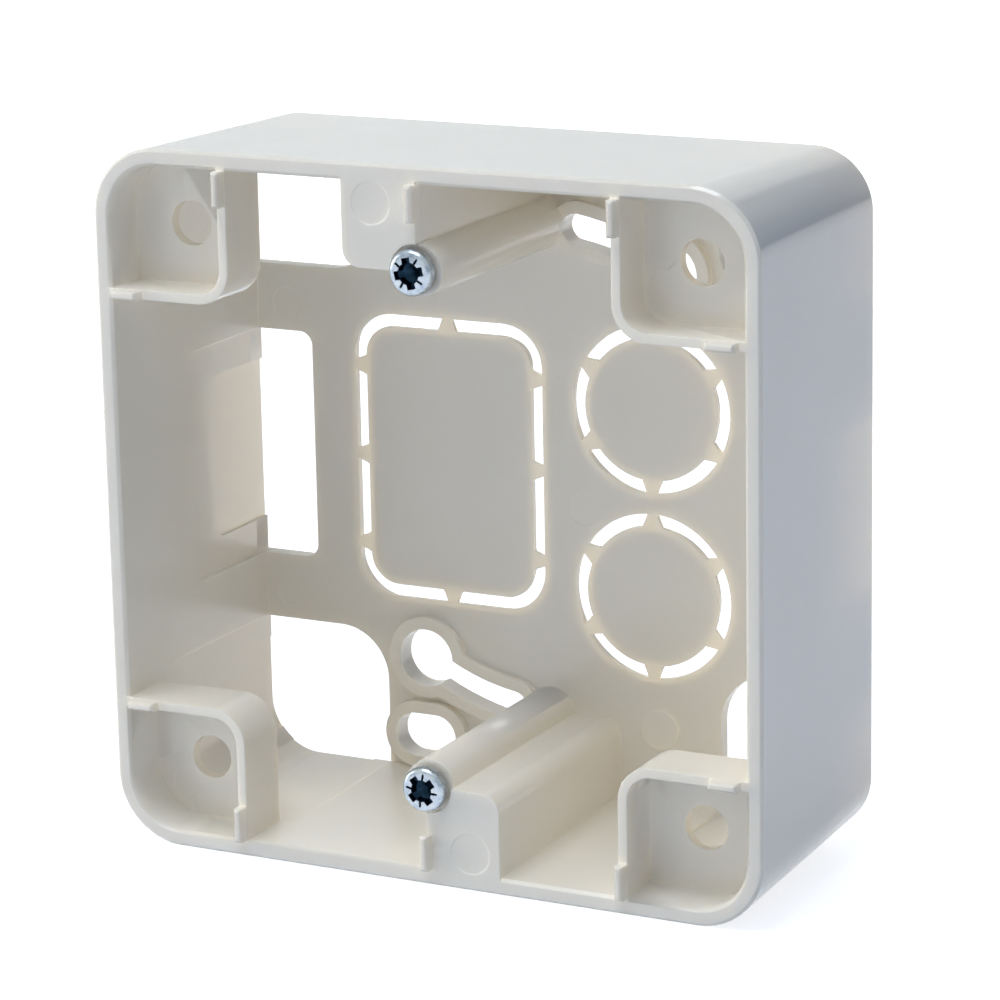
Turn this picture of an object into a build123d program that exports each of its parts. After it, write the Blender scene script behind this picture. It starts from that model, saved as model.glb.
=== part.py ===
from build123d import *
from math import atan, cos, degrees, radians, sin, tan
import os

# A surface mounting box for a wiring device: one square moulding, open at the front,
# with its back plate against the wall, and two device screws in posts.
# Origin at the centre of the wall face, +X right, +Z up, +Y into the wall.

# Outer moulding
BOX_SIZE = 83.5          # square across the open front
BOX_DEPTH = 34.0         # from the wall to the rim
BOX_CORNER = 8.25        # outer corner radius at the rim
WALL = 2.0               # side wall at the rim
PLATE = 1.8              # back plate
OUTSIDE_DRAFT = 1.6      # degrees, the outside narrows towards the wall
INSIDE_DRAFT = 0.8       # degrees, the inside narrows towards the plate
RIM_EDGE = 0.35          # broken edges of the rim

# Corner trays, which take the wall screws
HOLE_SPACING = 64.5      # between tray holes, along each side
HOLE_DIAMETER = 5.3
TRAY_WIDTH = 14.55       # clear width from the side wall to the tray wall
TRAY_DEPTH = 6.0         # from the rim to the tray floor
TRAY_FLOOR = 1.5
TRAY_WALL = 1.1
TRAY_CORNER = 3.0        # inside radius of the tray's free corner

# Locating tabs, which stand proud of the rim and centre the cover
TAB_LENGTH = 4.1
TAB_WIDTH = 1.0
TAB_HEIGHT = 1.5
TAB_EDGE = 0.3
SIDE_TAB_GAP = 0.6       # from the rim's inner edge to the tabs on the left and right

# Posts for the device screws, and the blocks beside them
SCREW_SPACING = 60.0
POST_DIAMETER = 6.1
POST_BACK = 0.8          # from the rim back to the post's end
BLOCK_WIDTH = 9.3
BLOCK_OVERLAP = 0.2      # how far a block reaches past the screw axis
BLOCK_DROP = 0.1         # how far a block reaches past the screw axis, inwards
BLOCK_CORNER = 2.2
BLOCK_WALL = 1.6         # wall round the block's hollow, which is open to the back
BLOCK_TAB_LENGTH = 4.2

# Device screws
SHANK_DIAMETER = 2.9
SHANK_LENGTH = 15.0
SHANK_TIP = 0.6
SCREW_PLAY = 0.05        # radial clearance of the shank in its bore
SCREW_OUT = 0.9          # the screws are not driven home: gap under each head
BORE_DEPTH = 20.0
HEAD_DIAMETER = 5.3
HEAD_HEIGHT = 1.4
HEAD_EDGE = 0.45
RECESS_WING = 0.75       # width of one arm of the cross recess
RECESS_SPAN = 3.3        # across two arms
RECESS_DEPTH = 0.9
RECESS_CORE = 1.7        # diameter of the middle of the recess

# Windows in the back plate, and the cable entries beside them
CORNER_WINDOW_GAP = 1.7  # from the tray's wall to the edge of its window
CORNER_WINDOW_CORNER = 6.4
SIDE_WINDOW_HEIGHT = 28.4
SIDE_WINDOW_WIDTH = 7.45
SIDE_WINDOW_CORNER = 1.7
ENTRY_WALL = 0.8         # side wall left at the entries, at the wall face
ENTRY_DRAFT = 0.75       # degrees
ENTRY_REACH = 18.1       # from the wall face
ENTRY_CORNER = 1.2
PANEL_WALL = 0.45        # thinnest part, which is broken out for a cable
PANEL_HEIGHT = 20.0
PANEL_REACH = 13.2
PANEL_CORNER = 3.0
ARCH_WALL = 0.65         # side wall left at the arches, at the wall face
ARCH_RADIUS = 5.8        # half-round cable entries near the corners
ARCH_PLACE = 31.5        # from the centre line to the middle of an arch
ARCH_TOP = 14.2          # from the wall face

# Knockouts: panels held in the plate by short bridges
KNOCK_WIDTH = 25.2
KNOCK_HEIGHT = 35.2
KNOCK_X = -13.2
KNOCK_Z = -0.3
KNOCK_CORNER = 5.2
KNOCK_SIDE_BRIDGE = 11.1 # spacing of the bridges on the long sides
ROUND_DIAMETER = 20.2
ROUND_X = 13.65
ROUND_UPPER_Z = 8.5
ROUND_LOWER_Z = -14.2
SLIT = 1.5               # slit round a panel
WEB = 0.5                # thickness left at the slit
RELIEF = 0.5             # groove in the wall face, each side of the slit
BRIDGE_OUT = 1.3         # width of a bridge at the plate
BRIDGE_IN = 2.4          # width of a bridge at the panel

# Curved keyhole slots and oblong slots, each with a raised edge
WALL_BOX_SPACING = 60.0  # of the screws that the curved slots fit
KEYHOLE_DIAMETER = 7.2
KEYHOLE_START = 236.6    # degrees round the box's centre, at the large end
KEYHOLE_END = 261.1      # degrees, at the narrow end
SLOT_WIDTH = 3.6
OBLONG_LENGTH = 8.2
OBLONG_WIDTH = 5.5
OBLONG_X = -16.8
OBLONG_Z = -35.0
EDGE_WIDTH = 1.5         # of the raised edge
EDGE_HEIGHT = 1.1

# Round marks left by the mould's ejector pins
MARK_DIAMETER = 4.9
MARK_DEPTH = 0.1
TRAY_MARKS = [(28.1, 28.4, 5.3), (-35.9, -36.1, 3.7)]
PLATE_MARKS = [(-35.9, -18.9, 3.9), (-35.2, 17.6, 3.9), (4.7, -4.4, 4.0)]
BUTTON_DIAMETER = 5.0
BUTTON_HEIGHT = 0.35
BUTTON_X = 14.5
BUTTON_Z = -30.6

HALF = BOX_SIZE / 2
RIM_INNER = HALF - WALL
REAR_HALF = HALF - BOX_DEPTH * tan(radians(OUTSIDE_DRAFT))
ENTRY_HALF = REAR_HALF - ENTRY_WALL
PANEL_HALF = REAR_HALF - PANEL_WALL
ARCH_HALF = REAR_HALF - ARCH_WALL
HOLE_PLACE = HOLE_SPACING / 2
SCREW_Z = SCREW_SPACING / 2
TRAY_INNER = RIM_INNER - TRAY_WIDTH
TRAY_OUTER = TRAY_INNER - TRAY_WALL
TRAY_TOP = BOX_DEPTH - TRAY_DEPTH
TRAY_BACK = TRAY_TOP - TRAY_FLOOR
POST_TOP = BOX_DEPTH - POST_BACK
WINDOW_EDGE = TRAY_OUTER - CORNER_WINDOW_GAP
BLOCK_LEFT = BLOCK_OVERLAP - BLOCK_WIDTH
BLOCK_LOW = SCREW_Z - BLOCK_DROP
CORNERS = [(sx, sz) for sx in (1, -1) for sz in (1, -1)]
SPARE = 1.0              # how far a cut runs past a face


def at(height):
    """Sketch plane at a height in front of the wall, seen from the front: x is X, y is Z."""
    return Plane.XZ.offset(height)


def prism(outline, low, high):
    """An outline drawn face on, carried from one height to another."""
    return extrude(at(low) * outline, amount=high - low)


def drafted(low, half_low, high, half_high, corner_high):
    """A rounded square that changes size evenly between two heights, its corners parts of cones."""
    change = half_high - half_low
    length = high - low
    taper = degrees(atan(abs(change) / length))
    corner = max(corner_high, corner_high - change)
    half = max(half_low, half_high)
    body = extrude(RectangleRounded(2 * half, 2 * half, corner), amount=length, taper=taper)
    if change > 0:
        return Pos(0, -high, 0) * Rot(-90, 0, 0) * body
    return Pos(0, -low, 0) * Rot(90, 0, 0) * body


def turned(shape):
    """The same shape turned half a turn about the box's centre line."""
    return shape.rotate(Axis.Y, 180)


def rectangle(x0, x1, z0, z1):
    """A rectangle by its edges."""
    return Pos((x0 + x1) / 2, (z0 + z1) / 2) * Rectangle(x1 - x0, z1 - z0)


def corner_region(edge, radius, far):
    """Everything beyond edge in both directions, its near corner rounded, for the +X +Z corner."""
    square = rectangle(edge, far, edge, far)
    near = square.vertices().sort_by(lambda v: v.X + v.Y)[0]
    return fillet(near, radius)


def every_corner(outline, sx, sz):
    """An outline for the +X +Z corner, mirrored into another corner."""
    if sx < 0:
        outline = mirror(outline, Plane.YZ)
    if sz < 0:
        outline = mirror(outline, Plane.XZ)
    return outline


def outside():
    """The outer form, which widens towards the rim."""
    return drafted(0, REAR_HALF, BOX_DEPTH, HALF, BOX_CORNER)


def inside(low=PLATE, extra=0.0):
    """The hollow between the drafted side walls, from a height past the rim, grown by extra."""
    slope = tan(radians(INSIDE_DRAFT))
    low_half = RIM_INNER + extra - (BOX_DEPTH - low) * slope
    high_half = RIM_INNER + extra + SPARE * slope
    corner = BOX_CORNER - (HALF - high_half)
    return drafted(low, low_half, BOX_DEPTH + SPARE, high_half, corner)


def shell():
    """The plate and the side walls, with both edges of the rim broken."""
    body = outside() - inside()
    rim = body.faces().sort_by(Axis.Y)[0]
    return chamfer(rim.edges(), RIM_EDGE)


def trays():
    """The four corner trays: a floor, and a wall towards the box's middle."""
    outer = corner_region(TRAY_OUTER, TRAY_CORNER + TRAY_WALL, BOX_SIZE)
    inner = corner_region(TRAY_INNER, TRAY_CORNER, BOX_SIZE)
    hole = Pos(HOLE_PLACE, HOLE_PLACE) * Circle(HOLE_DIAMETER / 2)
    made = []
    for sx, sz in CORNERS:
        tray = prism(every_corner(outer, sx, sz), TRAY_BACK, BOX_DEPTH)
        tray -= prism(every_corner(inner, sx, sz), TRAY_TOP, BOX_DEPTH + SPARE)
        made.append(tray - prism(every_corner(hole, sx, sz), TRAY_BACK - SPARE, TRAY_TOP + SPARE))
    return made


def block():
    """The upper block, from the plate to the rim, beside the upper post."""
    outline = rectangle(BLOCK_LEFT, BLOCK_OVERLAP, BLOCK_LOW, BOX_SIZE)
    low_left = outline.vertices().sort_by(lambda v: v.X + v.Y)[0]
    return prism(fillet(low_left, BLOCK_CORNER), PLATE / 2, BOX_DEPTH)


def block_hollow():
    """The hollow inside the upper block, open at the wall face and clear of the post."""
    left = BLOCK_LEFT + BLOCK_WALL
    right = BLOCK_OVERLAP - BLOCK_WALL
    low = BLOCK_LOW + BLOCK_WALL
    outline = rectangle(left, right, low, RIM_INNER - BLOCK_WALL)
    outline -= Pos(0, SCREW_Z) * Circle(POST_DIAMETER / 2)
    return prism(outline, -SPARE, BOX_DEPTH - BLOCK_WALL)


def post():
    """The upper post, a round column from the plate."""
    return prism(Pos(0, SCREW_Z) * Circle(POST_DIAMETER / 2), PLATE / 2, POST_TOP)


def head_pocket():
    """Room round the screw head where the block would cover the post's end."""
    return prism(Pos(0, SCREW_Z) * Circle(POST_DIAMETER / 2), POST_TOP, BOX_DEPTH + SPARE)


def screw_bore():
    """The blind bore of the upper post."""
    radius = SHANK_DIAMETER / 2 + SCREW_PLAY
    return prism(Pos(0, SCREW_Z) * Circle(radius), POST_TOP - BORE_DEPTH, POST_TOP + SPARE)


def curved_band(width):
    """A band of even width with round ends, along the arc of the keyhole slot."""
    radius = WALL_BOX_SPACING / 2
    path = CenterArc((0, 0), radius, KEYHOLE_START, KEYHOLE_END - KEYHOLE_START)
    return SlotArc(path, width)


def large_end(diameter):
    """The round end of the keyhole slot."""
    radius = WALL_BOX_SPACING / 2
    angle = radians(KEYHOLE_START)
    return Pos(radius * cos(angle), radius * sin(angle)) * Circle(diameter / 2)


def oblong(extra):
    """The oblong slot beside the keyhole, grown by extra all round."""
    return Pos(OBLONG_X, OBLONG_Z) * SlotOverall(OBLONG_LENGTH + 2 * extra, OBLONG_WIDTH + 2 * extra)


def raised_edges():
    """The raised edges round the lower keyhole and the oblong slot, still solid."""
    grown = 2 * EDGE_WIDTH
    outline = curved_band(SLOT_WIDTH + grown) + large_end(KEYHOLE_DIAMETER + grown) + oblong(EDGE_WIDTH)
    return prism(outline, PLATE / 2, PLATE + EDGE_HEIGHT)


def slots():
    """The lower keyhole and the oblong slot, cut right through."""
    outline = curved_band(SLOT_WIDTH) + large_end(KEYHOLE_DIAMETER) + oblong(0)
    return prism(outline, -SPARE, PLATE + EDGE_HEIGHT + SPARE)


def entry_core(half_rear):
    """A rounded square that widens towards the wall, which thins the side walls behind it."""
    slope = tan(radians(ENTRY_DRAFT))
    rear = half_rear + SPARE * slope
    front = half_rear - TRAY_BACK * slope
    return drafted(-SPARE, rear, TRAY_BACK, front, BOX_CORNER - (HALF - front))


def corner_wells():
    """Windows behind the trays, which also thin the side walls there."""
    region = corner_region(WINDOW_EDGE, CORNER_WINDOW_CORNER, BOX_SIZE)
    core = entry_core(ENTRY_HALF)
    return [prism(every_corner(region, sx, sz), -SPARE, TRAY_BACK) & core for sx, sz in CORNERS]


def beside_wall(width, reach, corner, middle=0.0):
    """An outline on the side wall, its y from the wall face forwards, with both far corners rounded."""
    outline = Pos(middle, (reach - SPARE) / 2) * Rectangle(width, reach + SPARE)
    return fillet(outline.vertices().sort_by(Axis.Y)[-2:], corner)


def through_side(outline, near):
    """Carries a side wall outline from near the wall outwards, on the left side."""
    plane = Plane(origin=(-near, 0, 0), x_dir=(0, 0, -1), z_dir=(-1, 0, 0))
    return extrude(plane * outline, amount=BOX_SIZE)


def side_entry():
    """The left cable entry: a window in the plate and two steps of thinner wall."""
    plate_half = RIM_INNER - (BOX_DEPTH - PLATE) * tan(radians(INSIDE_DRAFT))
    edge = plate_half - SIDE_WINDOW_WIDTH
    tall = SIDE_WINDOW_HEIGHT / 2
    window = rectangle(-ENTRY_HALF, -edge, -tall, tall)
    inner = window.vertices().sort_by(Axis.X)[-2:]
    opening = prism(fillet(inner, SIDE_WINDOW_CORNER), -SPARE, PLATE + SPARE)
    near = plate_half - SPARE
    step = through_side(beside_wall(SIDE_WINDOW_HEIGHT, ENTRY_REACH, ENTRY_CORNER), near)
    panel = through_side(beside_wall(PANEL_HEIGHT, PANEL_REACH, PANEL_CORNER), near)
    return opening, step & entry_core(ENTRY_HALF), panel & entry_core(PANEL_HALF)


def arches():
    """Half-round cable entries, thinned into both side walls of every corner."""
    outline = beside_wall(2 * ARCH_RADIUS, ARCH_TOP, ARCH_RADIUS * 0.98, ARCH_PLACE)
    arch = through_side(outline, RIM_INNER - SPARE) & entry_core(ARCH_HALF)
    across = arch.rotate(Axis.Y, 90)
    both = [arch, mirror(arch, Plane.XY), across, mirror(across, Plane.YZ)]
    return both + [turned(a) for a in both]


def bridge(x, z, angle):
    """One bridge across a slit: narrow at the plate, wide at the panel, pointing outwards."""
    across = SLIT / 2
    corners = [(-across, -BRIDGE_IN / 2), (across, -BRIDGE_OUT / 2),
               (across, BRIDGE_OUT / 2), (-across, BRIDGE_IN / 2)]
    overrun = Rectangle(SLIT / 3, BRIDGE_IN)
    inner = Pos(-across, 0) * overrun
    outer = Pos(across, 0) * Rectangle(SLIT / 3, BRIDGE_OUT)
    return Pos(x, z) * Rot(0, 0, angle) * (Polygon(*corners, align=None) + inner + outer)


def knockout(outline, inner, bridges, wide, narrow):
    """The cuts of one knockout: its slit between the bridges, and the relief groove behind."""
    slit = outline - inner
    for one in bridges:
        slit -= one
    return prism(slit, -SPARE, PLATE + SPARE), prism(wide - narrow, -SPARE, PLATE - WEB)


def square_knockout():
    """The large rounded panel, with eight bridges."""
    def outline(extra):
        return Pos(KNOCK_X, KNOCK_Z) * RectangleRounded(
            KNOCK_WIDTH + 2 * extra, KNOCK_HEIGHT + 2 * extra, KNOCK_CORNER + extra)
    x = KNOCK_WIDTH / 2 - SLIT / 2
    z = KNOCK_HEIGHT / 2 - SLIT / 2
    places = [(0, z, 90), (0, -z, -90)]
    for step in (-1, 0, 1):
        places += [(x, step * KNOCK_SIDE_BRIDGE, 0), (-x, step * KNOCK_SIDE_BRIDGE, 180)]
    bridges = [bridge(KNOCK_X + a, KNOCK_Z + b, turn) for a, b, turn in places]
    return knockout(outline(0), outline(-SLIT), bridges, outline(RELIEF), outline(-SLIT - RELIEF))


def round_knockout(z):
    """A round panel with six bridges."""
    def outline(extra):
        return Pos(ROUND_X, z) * Circle(ROUND_DIAMETER / 2 + extra)
    middle = (ROUND_DIAMETER - SLIT) / 2
    bridges = []
    for angle in range(30, 390, 60):
        turn = radians(angle)
        bridges.append(bridge(ROUND_X + middle * cos(turn), z + middle * sin(turn), angle))
    return knockout(outline(0), outline(-SLIT), bridges, outline(RELIEF), outline(-SLIT - RELIEF))


def tab(x, z, along_x, length):
    """A locating tab that stands on a tray wall or a block, with its free edges broken."""
    size = (length, TAB_WIDTH) if along_x else (TAB_WIDTH, length)
    body = prism(Pos(x, z) * Rectangle(*size), BOX_DEPTH - SPARE, BOX_DEPTH + TAB_HEIGHT)
    front = body.faces().sort_by(Axis.Y)[0]
    return chamfer(front.edges(), TAB_EDGE)


def tabs():
    """Two tabs on each tray wall, and one on each block."""
    middle = TRAY_OUTER + TRAY_WALL / 2
    start = RIM_INNER - TAB_LENGTH / 2
    shorter = TAB_LENGTH - SIDE_TAB_GAP
    made = []
    for sx, sz in CORNERS:
        made.append(tab(sx * middle, sz * start, False, TAB_LENGTH))
        made.append(tab(sx * (start - SIDE_TAB_GAP / 2), sz * middle, True, shorter))
    upper = tab(0, RIM_INNER - BLOCK_TAB_LENGTH / 2, False, BLOCK_TAB_LENGTH)
    return made + [upper, turned(upper)]


def marks():
    """Shallow round marks of the ejector pins, on the blocks, in the trays and on the plate."""
    disc = Circle(MARK_DIAMETER / 2)
    block_x = BLOCK_LEFT + BLOCK_WIDTH * 0.4
    block_z = RIM_INNER - MARK_DIAMETER / 2
    upper = prism(Pos(block_x, block_z) * disc, BOX_DEPTH - MARK_DEPTH, BOX_DEPTH + SPARE)
    made = [upper, turned(upper)]
    for places, face in ((TRAY_MARKS, TRAY_TOP), (PLATE_MARKS, PLATE)):
        for x, z, diameter in places:
            made.append(prism(Pos(x, z) * Circle(diameter / 2), face - MARK_DEPTH, face + SPARE))
    return made


def button():
    """A low round button on the plate."""
    return prism(Pos(BUTTON_X, BUTTON_Z) * Circle(BUTTON_DIAMETER / 2), PLATE / 2, PLATE + BUTTON_HEIGHT)


def knockouts():
    """The cuts of all knockouts."""
    return [*square_knockout(), *round_knockout(ROUND_UPPER_Z), *round_knockout(ROUND_LOWER_Z)]


def make_housing():
    """The one-piece moulding."""
    room = inside(PLATE / 2, RIM_EDGE)
    kept = trays() + [block(), turned(block()), post(), turned(post())]
    kept += [raised_edges(), turned(raised_edges()), button()]
    body = shell()
    for piece in kept:
        body += piece & room
    for piece in tabs():
        body += piece
    halves = [*side_entry(), slots(), block_hollow(), head_pocket(), screw_bore()]
    cuts = corner_wells() + arches() + knockouts() + marks()
    cuts += halves + [turned(cut) for cut in halves]
    for cut in cuts:
        body -= cut
    return body


def make_screw():
    """The upper device screw: a pan head with a cross recess, and a plain shank."""
    radius = HEAD_DIAMETER / 2
    seat = POST_TOP + SCREW_OUT
    top = seat + HEAD_HEIGHT
    place = Pos(0, SCREW_Z)
    head = prism(place * Circle(radius), seat, top)
    head = chamfer(head.faces().sort_by(Axis.Y)[0].edges(), HEAD_EDGE)
    shank = prism(place * Circle(SHANK_DIAMETER / 2), seat - SHANK_LENGTH, seat)
    shank = chamfer(shank.faces().sort_by(Axis.Y)[-1].edges(), SHANK_TIP)
    cross = Rectangle(RECESS_SPAN, RECESS_WING) + Rectangle(RECESS_WING, RECESS_SPAN)
    cross += Circle(RECESS_CORE / 2)
    return head + shank - prism(place * cross, top - RECESS_DEPTH, top + SPARE)


def write(shape, name):
    """Writes one piece under its own name."""
    shape.label = name
    export_step(shape, f"parts/{name}.step")


os.makedirs("parts", exist_ok=True)
upper_screw = make_screw()
write(make_housing(), "housing")
write(upper_screw, "upper_screw")
write(turned(upper_screw), "lower_screw")
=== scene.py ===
from math import pi, radians

import bmesh
import bpy
import numpy as np
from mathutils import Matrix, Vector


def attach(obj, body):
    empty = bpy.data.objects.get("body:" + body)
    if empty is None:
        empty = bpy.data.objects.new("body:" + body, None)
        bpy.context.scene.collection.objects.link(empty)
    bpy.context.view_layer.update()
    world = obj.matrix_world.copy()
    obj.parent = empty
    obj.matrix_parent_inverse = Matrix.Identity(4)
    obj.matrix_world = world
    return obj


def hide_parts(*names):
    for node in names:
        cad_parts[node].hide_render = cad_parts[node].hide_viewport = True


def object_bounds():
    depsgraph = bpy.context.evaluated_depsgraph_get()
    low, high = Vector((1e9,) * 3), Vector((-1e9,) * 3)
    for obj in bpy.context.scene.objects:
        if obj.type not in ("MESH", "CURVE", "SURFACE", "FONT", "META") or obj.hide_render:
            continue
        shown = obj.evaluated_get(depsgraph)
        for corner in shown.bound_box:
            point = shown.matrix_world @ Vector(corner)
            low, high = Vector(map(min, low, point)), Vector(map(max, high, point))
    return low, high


# Everything is in metres in the row frame: the wall face at y = 0, the open front at -Y,
# and Z up. Sizes are written in millimetres, and MM turns them to metres.
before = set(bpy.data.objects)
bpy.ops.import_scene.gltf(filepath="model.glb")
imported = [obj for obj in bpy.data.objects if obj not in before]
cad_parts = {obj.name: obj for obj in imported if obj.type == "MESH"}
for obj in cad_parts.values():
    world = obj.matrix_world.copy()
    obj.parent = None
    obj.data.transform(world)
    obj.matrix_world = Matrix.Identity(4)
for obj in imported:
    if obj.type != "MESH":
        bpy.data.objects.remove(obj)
cad_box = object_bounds()


# Housing.
# The real frame is one injection moulding of off-white polycarbonate, screwed to the wall
# to carry an outlet. It keeps the solid's exact shape: in a copy its loose triangles are
# merged, so that round corners shade smoothly, and its edges get the mould's small radius.

MM = 0.001
EDGE_RADIUS = 0.2 * MM
CORNER_CENTRE = 33.5 * MM      # centre of each round corner, across and up from the middle
SATIN_INSIDE = 6.4 * MM        # as far from that centre as this, the surface is still satin
POLISHED_OUTSIDE = 6.9 * MM    # and from here on it is polished
TONE_DRIFT = 26 * MM
GLOSS_DRIFT = 7 * MM
GRAIN = 0.3 * MM
GRAIN_HEIGHT = 0.01 * MM
POLISH = 0.13                  # how much less rough the outside is
SCATTER = 1.4 * MM
MERGE = 0.0005 * MM
SAME_PLANE = 0.2               # degrees between triangles of one flat face


def linear(code):
    """sRGB hex colour as linear RGBA."""
    parts = [int(code[i:i + 2], 16) / 255 for i in (1, 3, 5)]
    return [p / 12.92 if p <= 0.04045 else ((p + 0.055) / 1.055) ** 2.4 for p in parts] + [1.0]


def add_node(tree, kind, inputs=None, stops=(), **settings):
    """Adds a shader node. An input is a value or another node's output, and stops are the
    positions and hex colours of a colour ramp."""
    made = tree.nodes.new(kind)
    for name, value in settings.items():
        setattr(made, name, value)
    for name, value in (inputs or {}).items():
        if isinstance(value, bpy.types.NodeSocket):
            tree.links.new(value, made.inputs[name])
        else:
            made.inputs[name].default_value = value
    for count, (position, code) in enumerate(stops):
        points = made.color_ramp.elements
        point = points[count] if count < 2 else points.new(position)
        point.position, point.color = position, linear(code)
    return made


def new_material(name):
    """An empty Principled material, with its tree, shader and Object coordinates."""
    material = bpy.data.materials.new(name)
    material.use_nodes = True
    tree = material.node_tree
    shader = tree.nodes["Principled BSDF"]
    return material, tree, shader, add_node(tree, "ShaderNodeTexCoord").outputs["Object"]


def polycarbonate():
    """Off-white polycarbonate from a fine-eroded mould.

    To the eye it is slightly see-through at thin walls and even in tone over some 26 mm.
    The outside is polished and mirrors softly, and the inside is satin, with a gloss that
    drifts over 7 mm. The mould's grain of 0.05 mm is too fine to show: it is drawn 0.3 mm wide."""
    material, tree, shader, where = new_material("off_white_polycarbonate")
    drift = add_node(tree, "ShaderNodeTexNoise",
                     {"Vector": where, "Scale": 1 / TONE_DRIFT, "Detail": 3.0})
    tone = add_node(tree, "ShaderNodeValToRGB", {"Fac": drift.outputs["Fac"]},
                    ((0.3, "#F5EFE2"), (0.7, "#F8F3E7")))
    tree.links.new(tone.outputs["Color"], shader.inputs["Base Color"])
    gloss = add_node(tree, "ShaderNodeTexNoise",
                     {"Vector": where, "Scale": 1 / GLOSS_DRIFT, "Detail": 4.0, "Roughness": 0.6})
    satin = add_node(tree, "ShaderNodeMapRange",
                     {"Value": gloss.outputs["Fac"], "To Min": 0.2, "To Max": 0.28})
    # The distance past the corners' centres, across and up, tells the outside from the inside.
    past = where
    for operation, other in (("MULTIPLY", (1, 0, 1)), ("ABSOLUTE", (0, 0, 0)),
                             ("SUBTRACT", (CORNER_CENTRE, 0, CORNER_CENTRE)),
                             ("MAXIMUM", (0, 0, 0))):
        step = add_node(tree, "ShaderNodeVectorMath", {0: past, 1: other}, operation=operation)
        past = step.outputs[0]
    reach = add_node(tree, "ShaderNodeVectorMath", {0: past}, operation="LENGTH")
    outside = add_node(tree, "ShaderNodeMapRange",
                       {"Value": reach.outputs["Value"], "From Min": SATIN_INSIDE,
                        "From Max": POLISHED_OUTSIDE})
    rough = add_node(tree, "ShaderNodeMath",
                     {0: outside.outputs["Result"], 1: -POLISH, 2: satin.outputs["Result"]},
                     operation="MULTIPLY_ADD")
    tree.links.new(rough.outputs[0], shader.inputs["Roughness"])
    edges = add_node(tree, "ShaderNodeBevel", {"Radius": EDGE_RADIUS}, samples=2)
    grain = add_node(tree, "ShaderNodeTexNoise",
                     {"Vector": where, "Scale": 1 / GRAIN, "Detail": 3.0, "Roughness": 0.6})
    bump = add_node(tree, "ShaderNodeBump",
                    {"Height": grain.outputs["Fac"], "Strength": 0.25, "Distance": GRAIN_HEIGHT,
                     "Normal": edges.outputs["Normal"]})
    tree.links.new(bump.outputs["Normal"], shader.inputs["Normal"])
    shader.subsurface_method = "BURLEY"
    shader.inputs["IOR"].default_value = 1.58
    shader.inputs["Subsurface Weight"].default_value = 0.65
    shader.inputs["Subsurface Radius"].default_value = (1.0, 0.85, 0.62)
    shader.inputs["Subsurface Scale"].default_value = SCATTER
    return material


def settle(mesh, flat_angle, sharp_angle=30):
    """Merges doubles, and triangles that are flat to an angle in degrees. Turns the faces
    outwards and shades them smooth up to a sharp angle."""
    work = bmesh.new()
    work.from_mesh(mesh)
    bmesh.ops.remove_doubles(work, verts=work.verts, dist=MERGE)
    if flat_angle:
        bmesh.ops.dissolve_limit(work, angle_limit=radians(flat_angle), verts=work.verts,
                                 edges=work.edges)
    bmesh.ops.recalc_face_normals(work, faces=work.faces)
    work.to_mesh(mesh)
    work.free()
    mesh.polygons.foreach_set("use_smooth", [True] * len(mesh.polygons))
    mesh.set_sharp_from_angle(angle=radians(sharp_angle))


def add_piece(name, mesh, body, slot, node, *materials):
    """Links a settled mesh as a piece that rides on a body and stands for a CAD node."""
    mesh.materials.clear()
    for material in materials:
        mesh.materials.append(material)
    piece = bpy.data.objects.new(name, mesh)
    bpy.context.scene.collection.objects.link(piece)
    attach(piece, body)
    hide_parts(node)
    return piece


housing_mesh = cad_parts["housing"].data.copy()
settle(housing_mesh, SAME_PLANE)
housing = add_piece("housing_moulding", housing_mesh, "frame", "ivory_plastic", "housing",
                    polycarbonate())
even = housing.modifiers.new("even_normals", "WEIGHTED_NORMAL")
even.mode = "FACE_AREA_WITH_ANGLE"
even.weight = 80
even.keep_sharp = True


# Device screws.
# Two pan head machine screws of cold-headed steel, zinc plated and passivated blue, hold
# the outlet in the posts. A cross recess is pressed into each head, with short marks
# between its arms, and the shank's thread is rolled.

SEAT = 34.1              # the head's underside, in front of the wall
SCREW_HEIGHT = 30.0      # of each axis, above or below the middle
HEAD_RADIUS = 2.65
HEAD_TALL = 1.4
RECESS_REACH = 1.8
RECESS_HALF_WIDTH = 0.5
MIDDLE_RADIUS = 1.28
RECESS_SLOPE = 0.1
MARK_REACH = 2.0
MARK_HALF_WIDTH = 0.13
MARK_SLOPE = 0.06
MARK_DEEP = 0.3
CORE_RADIUS = 1.14
CREST_RADIUS = 1.45
SHANK_DEEP = 15.0
HEAD_EDGE = np.array([(0.0, 0.62), (0.0, 0.12), (0.03, 0.03), (0.12, 0.0)])  # inset, height
PITCH = 0.5
AROUND = 192
HEAD_RINGS = 76
RINGS_A_TURN = 8
PATCH = 0.9 * MM
RING_SPACING = 0.35 * MM
RING_HEIGHT = 0.01 * MM
PAINTED_SHADE_WITHIN = 2.1        # painted shade darkens the recess, up to this radius
PAINTED_SHADE_BELOW = 0.08        # from this far under the dome
PAINTED_SHADE_LOWEST = -1.0       # and, with painted shade on the shank's first millimetre, down to this height


def dome(r):
    """Height of the pan head above its seat, in mm: HEAD_TALL (1 - 0.1 t^2 - 0.35 t^12).

    t is the radius over HEAD_RADIUS."""
    t = np.clip(r / HEAD_RADIUS, 0, 1)
    return HEAD_TALL * (1 - 0.1 * t ** 2 - 0.35 * t ** 12)


def cross(x, y, reach, half_width):
    """Signed distance-like value of a cross: negative inside two arms at right angles."""
    x, y = np.abs(x), np.abs(y)
    return np.minimum(np.maximum(x - reach, y - half_width), np.maximum(y - reach, x - half_width))


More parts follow.
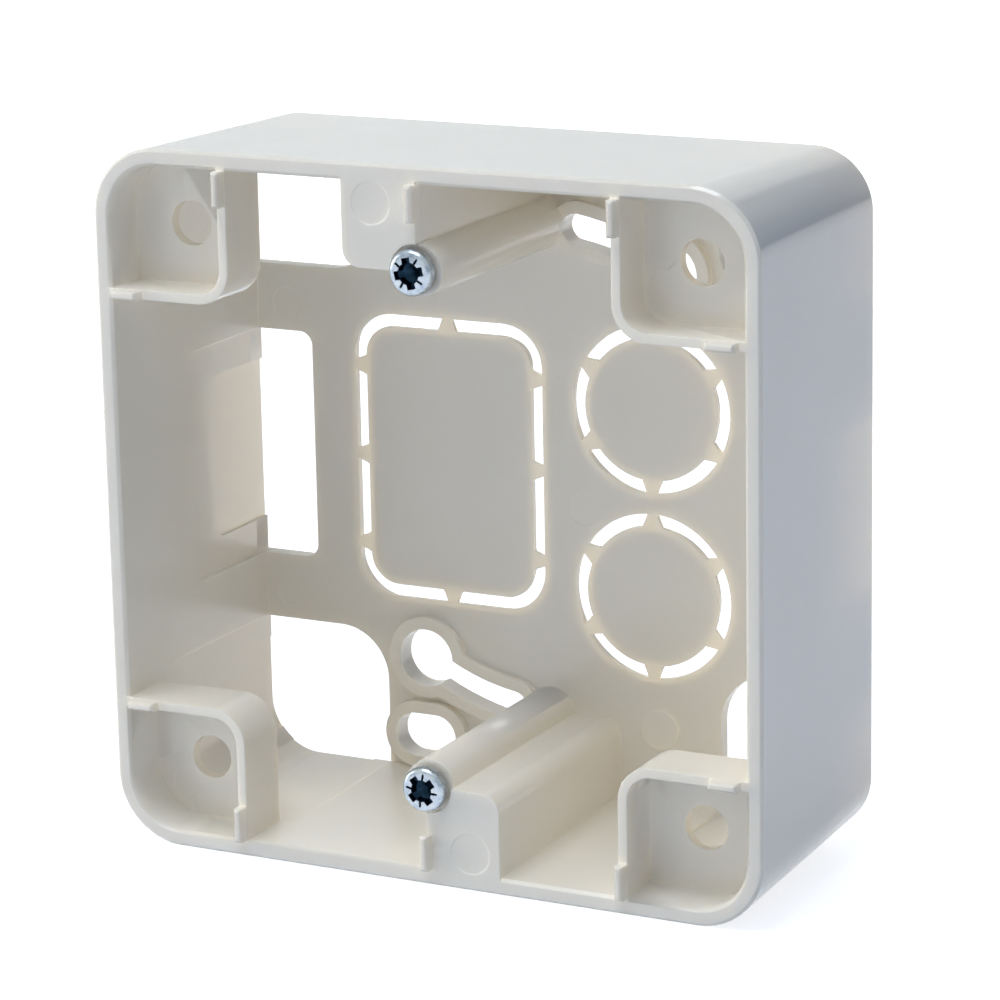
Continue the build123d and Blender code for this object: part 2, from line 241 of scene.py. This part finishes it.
def head_top(x, y):
    """Height of the head's top above its seat, in mm: the dome less its recess and marks.

    The recess is the union of a cross and a round middle, 1.7 - 0.55 r deep, whose sides slope
    over 0.1 mm. The marks are a thin cross between its arms, 0.3 mm deep."""
    r = np.hypot(x, y)
    recess = np.minimum(cross(x, y, RECESS_REACH, RECESS_HALF_WIDTH), r - MIDDLE_RADIUS)
    deep = np.clip(-recess / RECESS_SLOPE, 0, 1) * (1.7 - 0.55 * r)
    mark = cross((x + y) / np.sqrt(2), (x - y) / np.sqrt(2), MARK_REACH, MARK_HALF_WIDTH)
    return dome(r) - np.maximum(deep, np.clip(-mark / MARK_SLOPE, 0, 1) * MARK_DEEP)


def thread_radius(down, angle):
    """Radius of the shank in mm: core plus a helical crest, faded at both ends.

    The crest is a clipped triangle wave of down / PITCH + angle / 2 pi, and the last
    0.6 mm taper to a point of 0.5 mm less."""
    phase = (down / PITCH + angle / (2 * pi)) % 1
    crest = np.clip(1.35 - 2.6 * np.abs(phase - 0.5), 0, 1)
    left = SHANK_DEEP - down
    fade = np.clip(down / 0.8, 0, 1) * np.clip(left / 0.9 + 0.12, 0, 1)
    point = 0.5 * np.clip(1 - left / 0.6, 0, 1)
    return CORE_RADIUS + (CREST_RADIUS - CORE_RADIUS) * crest * fade - point


def screw_mesh(name, turn, side):
    """The whole screw as rings of radius and height over the angle round its axis.

    They run from the middle of the recess over the head's edge to the shank's tip."""
    angle = np.arange(AROUND)[None] * 2 * pi / AROUND
    top = np.linspace(0, HEAD_RADIUS, HEAD_RINGS)[:, None] + 0 * angle
    down = np.arange(0, SHANK_DEEP + 0.01, PITCH / RINGS_A_TURN)[:, None]
    radius = np.concatenate([top, HEAD_RADIUS - HEAD_EDGE[:, :1] + 0 * angle,
                             thread_radius(down, angle), 0 * angle])
    height = np.concatenate([head_top(top * np.cos(angle), top * np.sin(angle)),
                             HEAD_EDGE[:, 1:] + 0 * angle, 0 * angle - down,
                             0 * angle - SHANK_DEEP])
    across = radius * np.cos(angle + radians(turn))
    up = radius * np.sin(angle + radians(turn)) + side * SCREW_HEIGHT
    points = np.stack([across, -(SEAT + height), up], -1).reshape(-1, 3) * MM
    step = np.arange(AROUND)
    after = (step + 1) % AROUND
    row = np.arange(len(radius) - 1)[:, None] * AROUND
    faces = np.stack([row + step, row + after, row + AROUND + after, row + AROUND + step], -1)
    mesh = bpy.data.meshes.new(name)
    mesh.from_pydata(points.tolist(), [], faces.reshape(-1, 4).tolist())
    settle(mesh, 0)
    return mesh


def zinc_steel(name, screw_z, tones=("#8C99A8", "#B4BEC8", "#C9CFCF"), low=0.18, high=0.4):
    """Blue zinc on turned steel, or with darker tones painted shade on the steel in the recess and
    just under the head.

    To the eye it is a cool grey that changes in patches of 0.9 mm, with fine rings round
    the screw's axis. The rings are drawn coarser than the real turning marks, to show. At
    scale 1 a wave texture's rings are pi / 10 apart."""
    material, tree, shader, where = new_material(name)
    centred = add_node(tree, "ShaderNodeVectorMath", {0: where, 1: (0, 0, screw_z)},
                       operation="SUBTRACT")
    rings = add_node(tree, "ShaderNodeTexWave",
                     {"Vector": centred.outputs[0], "Scale": pi / 10 / RING_SPACING,
                      "Distortion": 1.5, "Detail": 2.0},
                     wave_type="RINGS", rings_direction="Y")
    patches = add_node(tree, "ShaderNodeTexNoise",
                       {"Vector": where, "Scale": 1 / PATCH, "Detail": 4.0, "Roughness": 0.6})
    tone = add_node(tree, "ShaderNodeValToRGB", {"Fac": patches.outputs["Fac"]},
                    zip((0.25, 0.5, 0.75), tones))
    tree.links.new(tone.outputs["Color"], shader.inputs["Base Color"])
    rough = add_node(tree, "ShaderNodeMapRange",
                     {"Value": patches.outputs["Fac"], "To Min": low, "To Max": high})
    tree.links.new(rough.outputs["Result"], shader.inputs["Roughness"])
    bump = add_node(tree, "ShaderNodeBump",
                    {"Height": rings.outputs["Fac"], "Strength": 0.3, "Distance": RING_HEIGHT})
    tree.links.new(bump.outputs["Normal"], shader.inputs["Normal"])
    shader.inputs["Metallic"].default_value = 1.0
    return material


for place, side, turn in (("upper", 1, 12), ("lower", -1, 38)):
    axis_z = side * SCREW_HEIGHT * MM
    bright = zinc_steel(place + "_blue_zinc_steel", axis_z)
    # Painted shade: a darker, rougher copy of the zinc stands in for the shade in the recess and
    # under the head.
    painted_shade_steel = zinc_steel(place + "_painted_shade_recess_steel", axis_z, ("#101C28", "#1B2E3E", "#2A4152"),
                      0.3, 0.5)
    screw = add_piece(place + "_screw_thread", screw_mesh(place + "_screw_thread", turn, side),
                      place + "_screw", "zinc_steel", place + "_screw", bright, painted_shade_steel)
    faces = screw.data.polygons
    centres = np.empty(len(faces) * 3)
    faces.foreach_get("center", centres)
    across, out, up = centres.reshape(-1, 3).T / MM
    from_axis = np.hypot(across, up - side * SCREW_HEIGHT)
    height = -out - SEAT
    # Faces in the recess and on the shank's first millimetre under the head get the painted shade
    # material.
    sunk = (from_axis < PAINTED_SHADE_WITHIN) & (height < dome(from_axis) - PAINTED_SHADE_BELOW)
    faces.foreach_set("material_index", (sunk & (height > PAINTED_SHADE_LOWEST)).astype(np.int32))


# Floor.
# A white studio floor under the rim's lower edge keeps the shadow. Its glow is added only
# for what is seen straight, in a mirror or through glass, and lights nothing.

FLOOR_REACH = 4.0
FLOOR_GLOW = 0.78
floor_low = cad_box[0][2]
floor_mesh = bpy.data.meshes.new("studio_floor")
floor_mesh.from_pydata([(x * FLOOR_REACH, y * FLOOR_REACH, floor_low)
                        for x, y in ((-1, -1), (1, -1), (1, 1), (-1, 1))], [], [(0, 1, 2, 3)])
floor = bpy.data.objects.new("studio_floor", floor_mesh)
bpy.context.scene.collection.objects.link(floor)

white_floor, tree, shader = new_material("white_studio_floor")[:3]
shader.inputs["Base Color"].default_value = linear("#CFD6E1")
shader.inputs["Roughness"].default_value = 0.9
shader.inputs["Specular IOR Level"].default_value = 0.0
rays = add_node(tree, "ShaderNodeLightPath").outputs
seen = add_node(tree, "ShaderNodeMath", {0: rays["Is Camera Ray"], 1: rays["Is Glossy Ray"]},
                operation="MAXIMUM")
seen = add_node(tree, "ShaderNodeMath", {0: seen.outputs[0], 1: rays["Is Transmission Ray"]},
                operation="MAXIMUM")
glow = add_node(tree, "ShaderNodeEmission", {"Strength": FLOOR_GLOW})
nothing = add_node(tree, "ShaderNodeEmission", {"Strength": 0.0})
extra = add_node(tree, "ShaderNodeMixShader",
                 {0: seen.outputs[0], 1: nothing.outputs[0], 2: glow.outputs[0]})
both = add_node(tree, "ShaderNodeAddShader", {0: shader.outputs[0], 1: extra.outputs[0]})
tree.links.new(both.outputs[0], tree.nodes["Material Output"].inputs["Surface"])
floor_mesh.materials.append(white_floor)


# Backdrop and light.
# The room is white where the camera sees it, and pale in mirrors, with one grey card behind
# on the right. Its light cools towards the right. Soft lamps stand above and on the left,
# close to the plane of the rim, a weak one stands in front, and one behind lights the thin
# walls through.

CARD_TOWARDS = (0.36, 0.9, 0.24)
world = bpy.data.worlds.new("studio")
bpy.context.scene.world = world
world.use_nodes = True
tree = world.node_tree
direction = add_node(tree, "ShaderNodeTexCoord").outputs["Generated"]
split = add_node(tree, "ShaderNodeSeparateXYZ", {0: direction})
sideways = add_node(tree, "ShaderNodeMath", {0: split.outputs["X"], 1: 0.5, 2: 0.5},
                    operation="MULTIPLY_ADD")
cooling = add_node(tree, "ShaderNodeValToRGB", {"Fac": sideways.outputs[0]},
                   ((0.0, "#FAFCFF"), (0.55, "#B8C6D8"), (1.0, "#32507F")))
card = add_node(tree, "ShaderNodeVectorMath", {0: direction, 1: CARD_TOWARDS},
                operation="DOT_PRODUCT")
pale = add_node(tree, "ShaderNodeValToRGB", {"Fac": card.outputs["Value"]},
                ((0.9, "#DCE4E9"), (0.94, "#76869C")))
room = add_node(tree, "ShaderNodeBackground", {"Color": cooling.outputs["Color"], "Strength": 0.5})
mirrored = add_node(tree, "ShaderNodeBackground", {"Color": pale.outputs["Color"], "Strength": 1.0})
white = add_node(tree, "ShaderNodeBackground", {"Color": (1, 1, 1, 1), "Strength": 1.0})
rays = add_node(tree, "ShaderNodeLightPath").outputs
gloss = add_node(tree, "ShaderNodeMath",
                 {0: rays["Is Glossy Ray"], 1: rays["Is Transmission Ray"]}, operation="MAXIMUM")
mixed = add_node(tree, "ShaderNodeMixShader",
                 {0: gloss.outputs[0], 1: room.outputs[0], 2: mirrored.outputs[0]})
mixed = add_node(tree, "ShaderNodeMixShader",
                 {0: rays["Is Camera Ray"], 1: mixed.outputs[0], 2: white.outputs[0]})
tree.links.new(mixed.outputs[0], tree.nodes["World Output"].inputs["Surface"])


def add_lamp(name, place, size, power, colour, mirrored=True):
    """A square soft lamp turned to the origin, seen in mirrors or not."""
    light = bpy.data.lights.new(name, "AREA")
    light.size = size
    light.energy = power
    light.color = linear(colour)[:3]
    lamp = bpy.data.objects.new(name, light)
    bpy.context.scene.collection.objects.link(lamp)
    lamp.location = place
    lamp.visible_glossy = mirrored
    x, y, z = place
    lamp.rotation_euler = (float(np.arctan2(np.hypot(x, y), z)), 0,
                           float(np.arctan2(-y, -x)) - pi / 2)


add_lamp("key_softbox", (-0.1, -0.27, 0.85), 0.45, 3.8, "#F4F8FF")
add_lamp("left_softbox", (-0.8, -0.24, 0.15), 0.45, 2.6, "#FFFBF4")
add_lamp("front_softbox", (0.0, -1.2, 0.2), 0.8, 0.75, "#FFF3E6")
add_lamp("back_softbox", (-0.25, 0.8, 0.1), 0.5, 5.2, "#FFF2E2", mirrored=False)


# Camera.
# Place, direction and focal length come from the frame's own corners in the photograph.

camera_data = bpy.data.cameras.new("camera")
camera_data.sensor_width = 36
camera_data.lens = 148.553
camera = bpy.data.objects.new("camera", camera_data)
bpy.context.scene.collection.objects.link(camera)
camera.location = (0.213633, -0.428464, 0.118678)
camera.rotation_euler = (radians(75.622), radians(1.096), radians(27.011))
bpy.context.scene.camera = camera
bpy.context.scene.view_settings.view_transform = "Standard"
